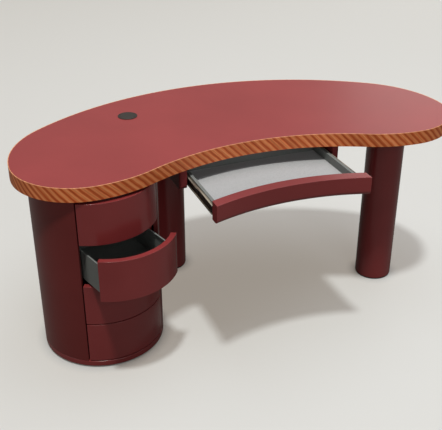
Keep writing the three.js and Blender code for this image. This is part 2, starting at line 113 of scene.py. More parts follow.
def applyModifier(piece, kind, settings):
    bpy.ops.object.select_all(action="DESELECT")
    bpy.context.view_layer.objects.active = piece
    piece.select_set(True)
    bpy.ops.object.modifier_add(type=kind)
    modifier = piece.modifiers[-1]
    for name, value in settings.items():
        setattr(modifier, name, value)
    bpy.ops.object.modifier_apply(modifier=modifier.name)


# Plan curves. A plan angle is counted from the sitter's side, -Y, towards +X.
def planDirection(angle):
    return Vector((math.sin(angle), -math.cos(angle), 0))


def stepsFor(radius, angle):
    return max(shaping["fewestSteps"], math.ceil(abs(angle) * radius / shaping["chord"]))


# The upright section between two radii, as radius and height pairs
def squareSection(inside, outside, bottom, top):
    return [(inside, bottom), (outside, bottom), (outside, top), (inside, top)]


# A profile of radius and height pairs, turned all the way round
def onLathe(name, centre, profile):
    points = [centre + Vector((radius, 0, height)) for radius, height in profile]
    piece = startPoint(name, points[0])
    drawOut(points)
    bpy.ops.mesh.select_all(action="SELECT")
    spinOut(centre, fullTurn, shaping["latheSteps"])
    closeUp()
    return piece


# A section of radius and height pairs, spun about a centre from one plan angle to another
def spunSection(name, centre, section, fromAngle, toAngle):
    direction = planDirection(fromAngle)
    points = [centre + direction * radius + up * height for radius, height in section]
    piece = startPoint(name, points[0])
    drawOut(points)
    fillAll()
    widest = max(radius for radius, height in section)
    spinOut(centre, toAngle - fromAngle, stepsFor(widest, toAngle - fromAngle))
    closeUp()
    return piece


# A flat outline, drawn out along a path of places
def drawnSection(name, outline, path):
    piece = startPoint(name, outline[0])
    drawOut(outline)
    fillAll()
    drawOut(path)
    closeUp()
    return piece


# A CAD node is loose triangles, so its doubles are merged and its flat faces joined
def copyOfNode(node, name):
    piece = bpy.data.objects.new(name, frame["nodes"][node].data.copy())
    bpy.context.scene.collection.objects.link(piece)
    openForEditing(piece)
    bpy.ops.mesh.select_all(action="SELECT")
    bpy.ops.mesh.remove_doubles(threshold=shaping["mergeDistance"])
    bpy.ops.mesh.dissolve_limited(angle_limit=math.radians(shaping["flatAngle"]))
    bpy.ops.object.mode_set(mode="OBJECT")
    return piece


# Moves a piece to its place and leaves its object at the origin
def settle(piece, place, turn=0.0):
    bpy.ops.object.select_all(action="DESELECT")
    bpy.context.view_layer.objects.active = piece
    piece.select_set(True)
    piece.location = place
    piece.rotation_euler = (0, 0, turn)
    bpy.ops.object.transform_apply(location=True, rotation=True, scale=True)


def copied(piece, name, shift):
    bpy.ops.object.select_all(action="DESELECT")
    bpy.context.view_layer.objects.active = piece
    piece.select_set(True)
    bpy.ops.object.duplicate()
    copy = bpy.context.object
    copy.name = copy.data.name = name
    settle(copy, shift)
    return copy


# Breaks a piece's sharp edges with a fine arris
def broken(piece, width, segments=shaping["plainSegments"]):
    applyModifier(piece, "BEVEL", {
        "width": width,
        "segments": segments,
        "limit_method": "ANGLE",
        "angle_limit": math.radians(shaping["creaseAngle"]),
        "use_clamp_overlap": True,
    })
    bpy.ops.object.shade_smooth_by_angle(angle=math.radians(shaping["smoothAngle"]))
    applyModifier(piece, "WEIGHTED_NORMAL", {"keep_sharp": True})


def finish(piece, material, slot, body, node):
    piece.data.materials.clear()
    piece.data.materials.append(material)
    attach(piece, body)
    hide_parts(node)


# The piece for drawer_1_left_rail is called drawer1LeftRail
def pieceName(node):
    first, *rest = node.split("_")
    return first + "".join(word.capitalize() for word in rest)


# A piece that keeps the CAD's own shape, with its edges broken
def cadPiece(node, look, body, arris, segments=shaping["plainSegments"], name=None):
    piece = copyOfNode(node, name or pieceName(node))
    broken(piece, arris, segments)
    finish(piece, *look, body, node)


# Materials
colourCurve = {"linearEnd": 0.04045, "linearSlope": 12.92, "offset": 0.055, "power": 2.4, "levels": 255}
millimetresPerMetre = 1000
mixSockets = {"share": 0, "first": 6, "second": 7, "result": 2}     # of a Mix node that mixes colours


def linearColour(hexCode):
    channels = []
    for start in (1, 3, 5):
        level = int(hexCode[start:start + 2], 16) / colourCurve["levels"]
        if level <= colourCurve["linearEnd"]:
            channels.append(level / colourCurve["linearSlope"])
        else:
            raised = (level + colourCurve["offset"]) / (1 + colourCurve["offset"])
            channels.append(raised ** colourCurve["power"])
    return (*channels, 1)


# A pattern's scale from its real size
def perSize(millimetres):
    return millimetresPerMetre / millimetres


# A node with its settings and links, and a colour ramp's stops
def addNode(tree, kind, settings=None, links=None, stops=()):
    node = tree.nodes.new(kind)
    for name, value in (settings or {}).items():
        if isinstance(name, int) or name in node.inputs:
            node.inputs[name].default_value = value
        else:
            setattr(node, name, value)
    for name, source in (links or {}).items():
        tree.links.new(source, node.inputs[name])
    for index, (position, hexCode) in enumerate(stops):
        elements = node.color_ramp.elements
        element = elements[index] if index < len(elements) else elements.new(position)
        element.position = position
        element.color = linearColour(hexCode)
    return node


def newSurface(name, settings):
    material = bpy.data.materials.new(name)
    material.use_nodes = True
    tree = material.node_tree
    shader = tree.nodes["Principled BSDF"]
    for socket, value in settings.items():
        shader.inputs[socket].default_value = value
    place = addNode(tree, "ShaderNodeTexCoord").outputs["Object"]
    return material, tree, shader, place


def joinTo(tree, shader, sockets):
    for name, source in sockets.items():
        tree.links.new(source, shader.inputs[name])


# A coat whose colour and gloss drift in wide clouds, over a fine relief
def coatedSurface(name, look, settings):
    material, tree, shader, place = newSurface(name, settings)
    cloud = addNode(tree, "ShaderNodeTexNoise", look["cloud"], {"Vector": place}).outputs["Fac"]
    relief = addNode(tree, "ShaderNodeTexNoise", look["relief"], {"Vector": place}).outputs["Fac"]
    colour = addNode(tree, "ShaderNodeValToRGB", links={"Fac": cloud}, stops=look["colours"])
    rough = addNode(tree, "ShaderNodeMapRange", look["roughness"], {"Value": cloud})
    bump = addNode(tree, "ShaderNodeBump", look["bump"], {"Height": relief})
    joinTo(tree, shader, {
        "Base Color": colour.outputs["Color"],
        "Roughness": rough.outputs["Result"],
        "Normal": bump.outputs["Normal"],
    })
    return material


# Sprayed polyurethane lacquer on fibreboard and on the steel legs, with a faint orange peel that is
# drawn a little coarser than the real one to show
def sprayedLacquer(name, colours, roughness, specular):
    dark, light = colours
    low, high = roughness
    look = {
        "cloud": {"Scale": perSize(260), "Detail": 2},
        "colours": [(0.35, dark), (0.65, light)],
        "roughness": {"To Min": low, "To Max": high},
        "relief": {"Scale": perSize(5), "Detail": 1},
        "bump": {"Strength": 0.12, "Distance": 0.00002},
    }
    return coatedSurface(name, look, {"IOR": 1.48, "Specular IOR Level": specular})


# Laminate pressed on the table top: velvety, with a fine pore
def topLaminate():
    look = {
        "cloud": {"Scale": perSize(420), "Detail": 3},
        "colours": [(0.35, "#923b3b"), (0.65, "#9b4040")],
        "roughness": {"To Min": 0.34, "To Max": 0.40},
        "relief": {"Scale": perSize(2.2), "Detail": 2},
        "bump": {"Strength": 0.15, "Distance": 0.00003},
    }
    return coatedSurface("burgundy laminate", look, {"IOR": 1.48})


# Edging cut from slanted layers of light and dark wood, oiled
def stripedWood(length):
    look = {
        "period": 0.0297,       # metres along the edge from one dark layer to the next
        "slant": 1.0,           # metres along the edge for each metre down
        "wander": {"Scale": perSize(30), "Detail": 1},
        "wanderShare": 0.24,    # of a period
        "layers": [
            (0.00, "#cb5925"), (0.14, "#d8662f"), (0.34, "#ff9c60"), (0.56, "#ffb176"),
            (0.76, "#ff9557"), (0.91, "#d4602a"), (1.00, "#cb5925"),
        ],
        "layerTone": [(0, "#e9e1db"), (1, "#ffffff")],
        "fibre": {"Scale": perSize(5.5), "Detail": 3},      # across the fibres
        "fibreRun": 0.05,       # of that scale along them
        "fibreTone": [(0.3, "#d9c3ae"), (0.6, "#ffffff")],
        "fibreBump": {"Strength": 0.25, "Distance": 0.00006},
        "wide": {"Scale": perSize(160), "Detail": 2},
        "wideTone": [(0.35, "#f8f5f2"), (0.65, "#ffffff")],
        "highlightDepth": 0.0025,     # how deep the painted highlight along the upper arris runs
        "paintedHighlightColour": "#f3c9a0",
        "highlightShare": 0.4,
    }
    material, tree, shader, place = newSurface("oiled striped edging", {"IOR": 1.45, "Roughness": 0.48})
    edge = addNode(tree, "ShaderNodeUVMap", {"uv_map": "edgeMap"}).outputs["UV"]
    parts = addNode(tree, "ShaderNodeSeparateXYZ", links={"Vector": edge}).outputs
    lean = addNode(
        tree, "ShaderNodeMath",
        {"operation": "MULTIPLY_ADD", 1: look["slant"]},
        {0: parts["Y"], 2: parts["X"]},
    ).outputs["Value"]
    # A whole number of layers goes round the bean, so that no seam shows at the back
    count = round(length / look["period"])
    layer = addNode(tree, "ShaderNodeMath", {"operation": "MULTIPLY", 1: count / length}, {0: lean})
    wander = addNode(tree, "ShaderNodeTexNoise", look["wander"], {"Vector": place})
    moved = addNode(
        tree, "ShaderNodeMath",
        {"operation": "MULTIPLY_ADD", 1: look["wanderShare"]},
        {0: wander.outputs["Fac"], 2: layer.outputs["Value"]},
    ).outputs["Value"]
    share = addNode(tree, "ShaderNodeMath", {"operation": "FRACT"}, {0: moved}).outputs["Value"]
    wood = addNode(tree, "ShaderNodeValToRGB", links={"Fac": share}, stops=look["layers"])
    wood.color_ramp.interpolation = "B_SPLINE"
    # Each layer has its own tone, long fibres lie along it, and a wide drift goes over all
    whole = addNode(tree, "ShaderNodeMath", {"operation": "FLOOR"}, {0: moved}).outputs["Value"]
    number = addNode(tree, "ShaderNodeMath", {"operation": "FLOORED_MODULO", 1: count}, {0: whole})
    chance = addNode(
        tree, "ShaderNodeTexWhiteNoise", {"noise_dimensions": "1D"}, {"W": number.outputs["Value"]},
    )
    run = addNode(tree, "ShaderNodeMath", {"operation": "MULTIPLY", 1: look["fibreRun"]}, {0: parts["Y"]})
    drawn = addNode(tree, "ShaderNodeCombineXYZ", links={"X": lean, "Y": run.outputs["Value"]})
    fibre = addNode(tree, "ShaderNodeTexNoise", look["fibre"], {"Vector": drawn.outputs["Vector"]})
    wide = addNode(tree, "ShaderNodeTexNoise", look["wide"], {"Vector": place})
    colour = wood.outputs["Color"]
    for source, stops in (
        (chance.outputs["Value"], look["layerTone"]),
        (fibre.outputs["Fac"], look["fibreTone"]),
        (wide.outputs["Fac"], look["wideTone"]),
    ):
        tone = addNode(tree, "ShaderNodeValToRGB", links={"Fac": source}, stops=stops)
        mixed = addNode(
            tree, "ShaderNodeMix",
            {"data_type": "RGBA", "blend_type": "MULTIPLY", mixSockets["share"]: 1},
            {mixSockets["first"]: colour, mixSockets["second"]: tone.outputs["Color"]},
        )
        colour = mixed.outputs[mixSockets["result"]]
    # The top few millimetres of the edging are painted paler, a painted highlight on the upper arris
    rim = addNode(
        tree, "ShaderNodeMapRange",
        {"From Min": topHeight - look["highlightDepth"], "From Max": topHeight, "To Max": look["highlightShare"]},
        {"Value": parts["Y"]},
    )
    highlighted = addNode(
        tree, "ShaderNodeMix",
        {"data_type": "RGBA", mixSockets["second"]: linearColour(look["paintedHighlightColour"])},
        {mixSockets["share"]: rim.outputs["Result"], mixSockets["first"]: colour},
    )
    bump = addNode(tree, "ShaderNodeBump", look["fibreBump"], {"Height": fibre.outputs["Fac"]})
    joinTo(tree, shader, {
        "Base Color": highlighted.outputs[mixSockets["result"]],
        "Normal": bump.outputs["Normal"],
    })
    return material


# A material with one fine grain over its colour: powder coat, moulded plastic, felt or board
def grainedSurface(name, look, settings):
    material, tree, shader, place = newSurface(name, settings)
    grain = addNode(tree, "ShaderNodeTexNoise", look["grain"], {"Vector": place}).outputs["Fac"]
    colour = addNode(tree, "ShaderNodeValToRGB", links={"Fac": grain}, stops=look["colours"])
    bump = addNode(tree, "ShaderNodeBump", look["bump"], {"Height": grain})
    joinTo(tree, shader, {"Base Color": colour.outputs["Color"], "Normal": bump.outputs["Normal"]})
    return material


# Galvanised and drawn steel strip: fine lines run along the slides. Faces that lie flat keep the drawn
# lines, and upright faces, the webs, get a dark painted shade.
def zincSteel():
    look = {
        "lines": {"Scale": perSize(3.2), "Detail": 2},      # across the drawn lines
        "lineRun": 0.02,        # of that scale along them
        "colours": [(0.42, "#4f4a42"), (0.62, "#d8cfbb")],
        "roughness": {"To Min": 0.36, "To Max": 0.5},
        # painted shade on the upright webs
        "paintedWebShade": "#2c2a28",
        "unshadedSlope": 0.6,      # a face that lies flatter than this keeps the lines; a steeper one takes the painted shade
    }
    material, tree, shader, place = newSurface("zinc plated steel", {"Metallic": 0.6})
    drawn = addNode(tree, "ShaderNodeMapping", {"Scale": (1, look["lineRun"], 1)}, {"Vector": place})
    lines = addNode(tree, "ShaderNodeTexNoise", look["lines"], {"Vector": drawn.outputs["Vector"]})
    shine = addNode(
        tree, "ShaderNodeValToRGB", links={"Fac": lines.outputs["Fac"]}, stops=look["colours"],
    )
    faceWay = addNode(tree, "ShaderNodeNewGeometry").outputs["Normal"]
    parts = addNode(tree, "ShaderNodeSeparateXYZ", links={"Vector": faceWay}).outputs
    level = addNode(tree, "ShaderNodeMath", {"operation": "ABSOLUTE"}, {0: parts["Z"]})
    # Upright faces take the painted shade colour in place of the drawn lines
    unshadedFace = addNode(
        tree, "ShaderNodeMath",
        {"operation": "GREATER_THAN", 1: look["unshadedSlope"]},
        {0: level.outputs["Value"]},
    )
    shaded = addNode(
        tree, "ShaderNodeMix",
        {"data_type": "RGBA", mixSockets["first"]: linearColour(look["paintedWebShade"])},
        {mixSockets["share"]: unshadedFace.outputs["Value"], mixSockets["second"]: shine.outputs["Color"]},
    )
    rough = addNode(tree, "ShaderNodeMapRange", look["roughness"], {"Value": lines.outputs["Fac"]})
    joinTo(tree, shader, {
        "Base Color": shaded.outputs[mixSockets["result"]],
        "Roughness": rough.outputs["Result"],
    })
    return material


# Satin on the fronts, the legs and the plinth, quieter on the shell, matt on the panels under the top
lacquer = sprayedLacquer("burgundy satin lacquer", ("#823132", "#8b3738"), (0.19, 0.24), specular=0.5)
# The shell's lacquer is written darker than the fronts', as painted shade
shadedShellLacquer = sprayedLacquer(
    "burgundy low-sheen lacquer", ("#692827", "#712c2b"), (0.28, 0.36), specular=0.28,
)
mattLacquer = sprayedLacquer("burgundy matt lacquer", ("#7a3234", "#82383a"), (0.5, 0.6), specular=0.12)
laminate = topLaminate()
zinc = zincSteel()
# Epoxy powder coat on sheet steel: dark grey with a fine dry grain
powderCoat = grainedSurface(
    "anthracite powder coat",
    {
        "grain": {"Scale": perSize(1.6), "Detail": 3},
        "colours": [(0.3, "#6c7170"), (0.7, "#808583")],
        "bump": {"Strength": 0.3, "Distance": 0.00008},
    },
    {"Roughness": 0.6, "IOR": 1.5, "Specular IOR Level": 0.25},
)
# Polyamide, moulded: black and matt
blackPolyamide = grainedSurface(
    "black polyamide",
    {
        "grain": {"Scale": perSize(1.5), "Detail": 3},
        "colours": [(0.3, "#171717"), (0.7, "#1e1d1d")],
        "bump": {"Strength": 0.25, "Distance": 0.00006},
    },
    {"Roughness": 0.6, "IOR": 1.53},
)
# ABS, spark-eroded in its mould: warm dark grey and dull
outletPlastic = grainedSurface(
    "grey-brown moulded ABS",
    {
        "grain": {"Scale": perSize(1.8), "Detail": 3},
        "colours": [(0.3, "#2c2825"), (0.7, "#38332f")],
        "bump": {"Strength": 0.3, "Distance": 0.00008},
    },
    {"Roughness": 0.55, "IOR": 1.45},
)
# Needle felt: pale grey, a mat of short fibres with no gloss
paleFelt = grainedSurface(
    "pale grey needle felt",
    {
        "grain": {"Scale": perSize(2.4), "Detail": 3},
        "colours": [(0.3, "#a0a3a5"), (0.7, "#b8bbbd")],
        "bump": {"Strength": 0.7, "Distance": 0.0003},
    },
    {"Roughness": 0.95, "IOR": 1.45, "Sheen Weight": 0.25, "Sheen Roughness": 0.5},
)
# Fibreboard under a burgundy backing sheet
backedBoard = grainedSurface(
    "burgundy backing sheet",
    {
        "grain": {"Scale": perSize(3), "Detail": 3},
        "colours": [(0.3, "#4a1f20"), (0.7, "#522324")],
        "bump": {"Strength": 0.2, "Distance": 0.00005},
    },
    {"Roughness": 0.6, "IOR": 1.48},
)
# A material with the slot that it fills on most of its pieces
steelLook = (powderCoat, "anthracite_steel")
zincLook = (zinc, "zinc_steel")
boardLook = (backedBoard, "board")
feltLook = (paleFelt, "felt")
print("materials made")


# The bean: tangent arcs, each a centre, a radius, a first plan angle and the angle it turns through
bean = {
    "backDepth": 0.411,     # from the middle of the bean to its back edge
    "waistDepth": 0.244,    # from the middle of the bean to its waist
    "backRadius": 1.190,
    "backHalfAngle": 38,
    "shoulderRadius": 0.393,
    "lobeRadius": 0.246,
    "flankRadius": 0.473,
    "sideArcs": 3,          # flank, lobe and shoulder, before the back
    "edging": 0.003,
    "sheet": 0.002,
    "gap": 0.0003,
    "edgingArris": 0.0006,
    "sheetArris": 0.0004,
    "boardArris": 0.0008,
}
beanMiddle = Vector((0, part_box("edge_band")[1].y - bean["backDepth"], 0))
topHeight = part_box("top_surface")[1].z
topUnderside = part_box("edge_band")[0].z


def beanArcs():
    backAngle = math.pi - math.radians(bean["backHalfAngle"])
    back = Vector((0, bean["backDepth"] - bean["backRadius"], 0))
    shoulder = back + planDirection(backAngle) * (bean["backRadius"] - bean["shoulderRadius"])
    lobe = shoulder + Vector((bean["shoulderRadius"] - bean["lobeRadius"], 0, 0))
    flank = lobe + Vector((0, bean["flankRadius"] - bean["lobeRadius"], 0))
    rise = flank.y + bean["waistDepth"]
    waistRadius = (flank.x ** 2 + rise ** 2 - bean["flankRadius"] ** 2) / (2 * (bean["flankRadius"] - rise))
    waist = Vector((0, -bean["waistDepth"] - waistRadius, 0))
    waistAngle = math.atan2(flank.x, flank.y - waist.y)
    right = [
        (flank, bean["flankRadius"], -waistAngle, waistAngle),
        (lobe, bean["lobeRadius"], 0, quarterTurn),
        (shoulder, bean["shoulderRadius"], quarterTurn, backAngle - quarterTurn),
    ]
    left = [
        (Vector((-centre.x, centre.y, 0)), radius, fullTurn - first - angle, angle)
        for centre, radius, first, angle in reversed(right)
    ]
    backArc = (back, bean["backRadius"], backAngle, fullTurn - 2 * backAngle)
    waistArc = (waist, waistRadius, math.pi + waistAngle, -2 * waistAngle)
    arcs = [*right, backArc, *left, waistArc]
    return [(centre + beanMiddle, radius, first, angle) for centre, radius, first, angle in arcs]


def drawBean():
    for centre, radius, first, angle in beanArcs():
        spinOut(centre, angle, stepsFor(radius, angle))


def beanStart(inset, height):
    centre, radius, first, angle = beanArcs()[0]
    return centre + planDirection(first) * (radius - inset) + up * height


# A slab under the bean's outline, with the outlet's hole
def beanSlab(name, inset, bottom, top):
    piece = startPoint(name, beanStart(inset, top))
    drawBean()
    fillAll()
    drawOut([up * top, up * bottom])
    closeUp()
    bpy.ops.mesh.primitive_cylinder_add(
        vertices=shaping["latheSteps"],
        radius=outlet["holeRadius"],
        depth=outlet["drillLength"],
        location=outletMiddle + up * top,
    )
    drill = bpy.context.object
    applyModifier(piece, "BOOLEAN", {"operation": "DIFFERENCE", "object": drill})
    bpy.data.objects.remove(drill)
    return piece


# How far along the edge a point lies, from the middle of its back
def edgePlace(point):
    best = None
    before = -toBackMiddle()
    for centre, radius, first, angle in beanArcs():
        offset = point - centre
        heading = math.atan2(offset.x, -offset.y)
        turned = ((heading - first) * math.copysign(1, angle)) % fullTurn
        if turned > math.pi:
            turned -= fullTurn
        overshoot = max(0, -turned, turned - abs(angle))
        miss = abs(offset.xy.length - radius) + overshoot * radius
        if best is None or miss < best[0]:
            best = (miss, before + turned * radius)
        before += abs(angle) * radius
    return best[1]


# The edging's own map: metres along the edge, and the height above the floor
def writeEdgeMap(piece):
    mesh = piece.data
    length = edgeLength()
    places = [edgePlace(vertex.co) % length for vertex in mesh.vertices]
    layer = mesh.uv_layers.new(name="edgeMap")
    for polygon in mesh.polygons:
        first = places[polygon.vertices[0]]
        for loop in polygon.loop_indices:
            vertex = mesh.loops[loop].vertex_index
            along = places[vertex]
            along += length * round((first - along) / length)
            layer.data[loop].uv = (along, mesh.vertices[vertex].co.z)


def edgeLength():
    return sum(abs(angle) * radius for centre, radius, first, angle in beanArcs())


def toBackMiddle():
    lengths = [abs(angle) * radius for centre, radius, first, angle in beanArcs()]
    return sum(lengths[:bean["sideArcs"]]) + lengths[bean["sideArcs"]] / 2


outlet = {
    "holeRadius": 0.036,
    "drillLength": 1,       # longer than the slab is thick
    "flangeRadius": 0.039,
    "boreRadius": 0.030,
    "wall": 0.0025,
    "lid": 0.006,
    "lidClearance": 0.0005,
    "gap": 0.0003,
    "arris": 0.0004,
    "lidArris": 0.0008,
}
outletLow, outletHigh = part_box("outlet_sleeve")
outletMiddle = Vector(((outletLow.x + outletHigh.x) / 2, (outletLow.y + outletHigh.y) / 2, 0))


def buildTop():
    inset = bean["edging"] + bean["gap"]
    sheetBottom = topHeight - bean["sheet"]
    sheet = beanSlab("topSheet", inset, sheetBottom, topHeight)
    broken(sheet, bean["sheetArris"])
    finish(sheet, laminate, "burgundy_top", "desk", "top_surface")
    board = beanSlab("topBoard", inset, topUnderside, sheetBottom - bean["gap"])
    broken(board, bean["boardArris"])
    finish(board, backedBoard, "board", "desk", "top_core")
    band = startPoint("woodenEdge", beanStart(0, topHeight))
    drawOut([up * topHeight, up * topUnderside])
    bpy.ops.mesh.select_all(action="SELECT")
    drawBean()
    closeUp()
    applyModifier(band, "SOLIDIFY", {"thickness": bean["edging"], "offset": -1})
    broken(band, bean["edgingArris"])
    writeEdgeMap(band)
    finish(band, stripedWood(edgeLength()), "striped_wood", "desk", "edge_band")


def buildOutlet():
    sleeveRadius = outlet["holeRadius"] - outlet["gap"]
    mouth = sleeveRadius - outlet["wall"]
    flangeTop = outletHigh.z
    ledge = flangeTop - outlet["lid"]
    flangeBottom = topHeight + outlet["gap"]
    sleeve = onLathe("outletSleeve", outletMiddle, [
        (outlet["boreRadius"], topUnderside),
        (sleeveRadius, topUnderside),
        (sleeveRadius, flangeBottom),
        (outlet["flangeRadius"], flangeBottom),
        (outlet["flangeRadius"], flangeTop),
        (mouth, flangeTop),
        (mouth, ledge),
        (outlet["boreRadius"], ledge),
        (outlet["boreRadius"], topUnderside),
    ])
    broken(sleeve, outlet["arris"])
    finish(sleeve, outletPlastic, "outlet_plastic", "desk", "outlet_sleeve")
    rim = mouth - outlet["lidClearance"]
    lid = onLathe("outletLid", outletMiddle, squareSection(0, rim, ledge + outlet["gap"], flangeTop))
    broken(lid, outlet["lidArris"], shaping["roundSegments"])
    finish(lid, outletPlastic, "outlet_plastic", "outlet_lid", "outlet_lid")


buildTop()
buildOutlet()
print("top made")


leg = {
    "wall": 0.003,
    "gap": 0.0003,
    "plate": 0.006,
    "glideInset": 0.002,
    "glideHeight": 0.006,
    "spigot": 0.014,
    "arris": 0.0008,
}


def buildLeg(side):
    low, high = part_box(side + "_leg_tube")
    middle = Vector(((low.x + high.x) / 2, (low.y + high.y) / 2, 0))
    radius = (high.x - low.x) / 2
    bore = radius - leg["wall"]
    wall = squareSection(bore, radius, low.z, high.z)
    tube = onLathe(side + "LegTube", middle, [*wall, wall[0]])
    broken(tube, leg["arris"])
    finish(tube, lacquer, "burgundy_steel", "desk", side + "_leg_tube")
    fitted = bore - leg["gap"]
    plateSection = squareSection(0, fitted, high.z - leg["plate"], high.z)
    plate = onLathe(side + "LegPlate", middle, plateSection)
    broken(plate, leg["arris"])
    finish(plate, *zincLook, "desk", side + "_leg_plate")
    foot = radius - leg["glideInset"]
    glide = onLathe(side + "LegGlide", middle, [
        (0, 0),
        (foot, 0),
        (foot, leg["glideHeight"]),
        (fitted, leg["glideHeight"]),
        (fitted, leg["glideHeight"] + leg["spigot"]),
        (0, leg["glideHeight"] + leg["spigot"]),
    ])
    broken(glide, leg["arris"])
    finish(glide, blackPolyamide, "glide_plastic", "desk", side + "_leg_glide")


buildLeg("right")
buildLeg("back")
print("legs made")


pedestal = {
    "radius": 0.231,
    "shell": 0.016,
    "seamHalfAngle": 45.2,  # degrees
    "seamGap": 0.0045,
    "front": 0.021,
    "plinthArris": 0.0025,
    "shellArris": 0.0008,
    "frontArris": 0.0010,
    "boxArris": 0.0006,
    "panelArris": 0.0008,
    "runnerArris": 0.0003,
}
plinthLow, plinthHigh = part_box("pedestal_plinth")
pedestalMiddle = Vector(((plinthLow.x + plinthHigh.x) / 2, (plinthLow.y + plinthHigh.y) / 2, 0))
drawerJoints = {joint["name"]: joint for joint in frame["joints"]}
drawerNumbers = (1, 2, 3, 4)
travelWay = Vector(drawerJoints["drawer_1_slide"]["axis"])
pedestalTurn = math.atan2(travelWay.x, -travelWay.y)
seamAngle = math.radians(pedestal["seamHalfAngle"])


# The open side of the shell, which the drawer fronts fill, faces the way that the drawers travel
def buildPedestalBody():
    glideLow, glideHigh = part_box("pedestal_glide")
    glideRadius = (glideHigh.x - glideLow.x) / 2
    glide = onLathe("pedestalGlide", pedestalMiddle, squareSection(0, glideRadius, 0, glideHigh.z))
    broken(glide, pedestal["shellArris"])
    finish(glide, blackPolyamide, "glide_plastic", "desk", "pedestal_glide")
    radius = pedestal["radius"]
    plinthSection = squareSection(0, radius, plinthLow.z, plinthHigh.z)
    plinth = onLathe("pedestalPlinth", pedestalMiddle, plinthSection)
    broken(plinth, pedestal["plinthArris"], shaping["roundSegments"])
    finish(plinth, lacquer, "burgundy_lacquer", "desk", "pedestal_plinth")
    low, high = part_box("pedestal_shell")
    shellSection = squareSection(radius - pedestal["shell"], radius, low.z, high.z)
    shell = spunSection("pedestalShell", Vector(), shellSection, seamAngle, fullTurn - seamAngle)
    settle(shell, pedestalMiddle, pedestalTurn)
    broken(shell, pedestal["shellArris"])
    finish(shell, shadedShellLacquer, "burgundy_lacquer", "desk", "pedestal_shell")
    cadPiece("pedestal_top_panel", boardLook, "desk", pedestal["panelArris"])
    for side in ("left", "right"):
        cadPiece(
            f"pedestal_{side}_wall", (lacquer, "burgundy_lacquer"), "desk", pedestal["panelArris"],
            name=side + "PedestalWall",
        )


# From where a drawer is shut to where it stands at rest
def openTravel(number):
    joint = drawerJoints[f"drawer_{number}_slide"]
    return travelWay * -joint["range_m"][0]


def buildDrawerFronts():
    low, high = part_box("drawer_1_front")
    radius = pedestal["radius"]
    reach = seamAngle - pedestal["seamGap"] / radius
    frontSection = squareSection(radius - pedestal["front"], radius, low.z, high.z)
    first = spunSection("drawer1Front", Vector(), frontSection, -reach, reach)
    settle(first, pedestalMiddle, pedestalTurn)
    broken(first, pedestal["frontArris"], shaping["roundSegments"])
    for number in drawerNumbers[1:]:
        drop = up * (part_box(f"drawer_{number}_front")[0].z - low.z)
        front = copied(first, f"drawer{number}Front", drop + openTravel(number))
        finish(front, lacquer, "burgundy_lacquer", f"drawer_{number}", f"drawer_{number}_front")
    finish(first, lacquer, "burgundy_lacquer", "drawer_1", "drawer_1_front")


def buildDrawerBoxes():
    for number in drawerNumbers:
        cadPiece(f"drawer_{number}_box", steelLook, f"drawer_{number}", pedestal["boxArris"])
        for side in ("left", "right"):
            for part, body in (("rail", "desk"), ("bar", f"drawer_{number}_runners")):
                cadPiece(
                    f"drawer_{number}_{side}_{part}", zincLook, body, pedestal["runnerArris"],
                    shaping["thinSegments"],
                )


buildPedestalBody()
buildDrawerFronts()
buildDrawerBoxes()
print("pedestal made")


centreDrawer = {
    "faceRadius": 0.910,
    "thickness": 0.044,
    "rounding": 0.018,
    "roundingSteps": 8,
    "arris": 0.0015,
    "sideArris": 0.0012,
    "panelArris": 0.0030,
    "matArris": 0.0006,
    "slideArris": 0.0003,
}


# A board bent in plan, with its lower edge rounded
def buildCentreFront():
    low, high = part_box("centre_front")
    middle = (low.x + high.x) / 2
    half = (high.x - low.x) / 2
    radius = centreDrawer["faceRadius"]
    rounding = centreDrawer["rounding"]
    reach = math.asin(half / radius)
    steps = stepsFor(radius, 2 * reach)
    places = []
    for step in range(steps + 1):
        angle = -reach + 2 * reach * step / steps
        across = middle + radius * math.sin(angle)
        back = low.y + radius * (math.cos(angle) - math.cos(reach))
        places.append(Vector((across, back, 0)))
    section = []
    for step in range(centreDrawer["roundingSteps"] + 1):
        turn = quarterTurn * step / centreDrawer["roundingSteps"]
        back = rounding * (1 - math.cos(turn))
        section.append(Vector((0, back, low.z + rounding * (1 - math.sin(turn)))))
    section.append(Vector((0, centreDrawer["thickness"], low.z)))
    section.append(Vector((0, centreDrawer["thickness"], high.z)))
    section.append(Vector((0, 0, high.z)))
    front = drawnSection("centreFront", [places[0] + point for point in section], places)
    broken(front, centreDrawer["arris"], shaping["roundSegments"])
    finish(front, lacquer, "burgundy_lacquer", "centre_drawer", "centre_front")


def buildCentreDrawer():
    for part in ("left_side", "right_side", "back", "floor"):
        cadPiece(f"centre_{part}", steelLook, "centre_drawer", centreDrawer["sideArris"])
    cadPiece("centre_mat", feltLook, "centre_drawer", centreDrawer["matArris"])
    for side in ("left", "right"):
        cadPiece(f"centre_{side}_slide_inner", zincLook, "centre_drawer", centreDrawer["slideArris"])
    for side in ("left", "right"):
        cadPiece(f"centre_{side}_slide_middle", zincLook, "centre_slides", centreDrawer["slideArris"])
        cadPiece(f"centre_{side}_slide_outer", zincLook, "desk", centreDrawer["slideArris"])
        cadPiece(
            f"housing_{side}_panel", (mattLacquer, "burgundy_lacquer"), "desk", centreDrawer["panelArris"],
            name=side + "HousingPanel",
        )
    cadPiece("housing_back_rail", boardLook, "desk", centreDrawer["panelArris"])


buildCentreFront()
buildCentreDrawer()
print("centre drawer made")


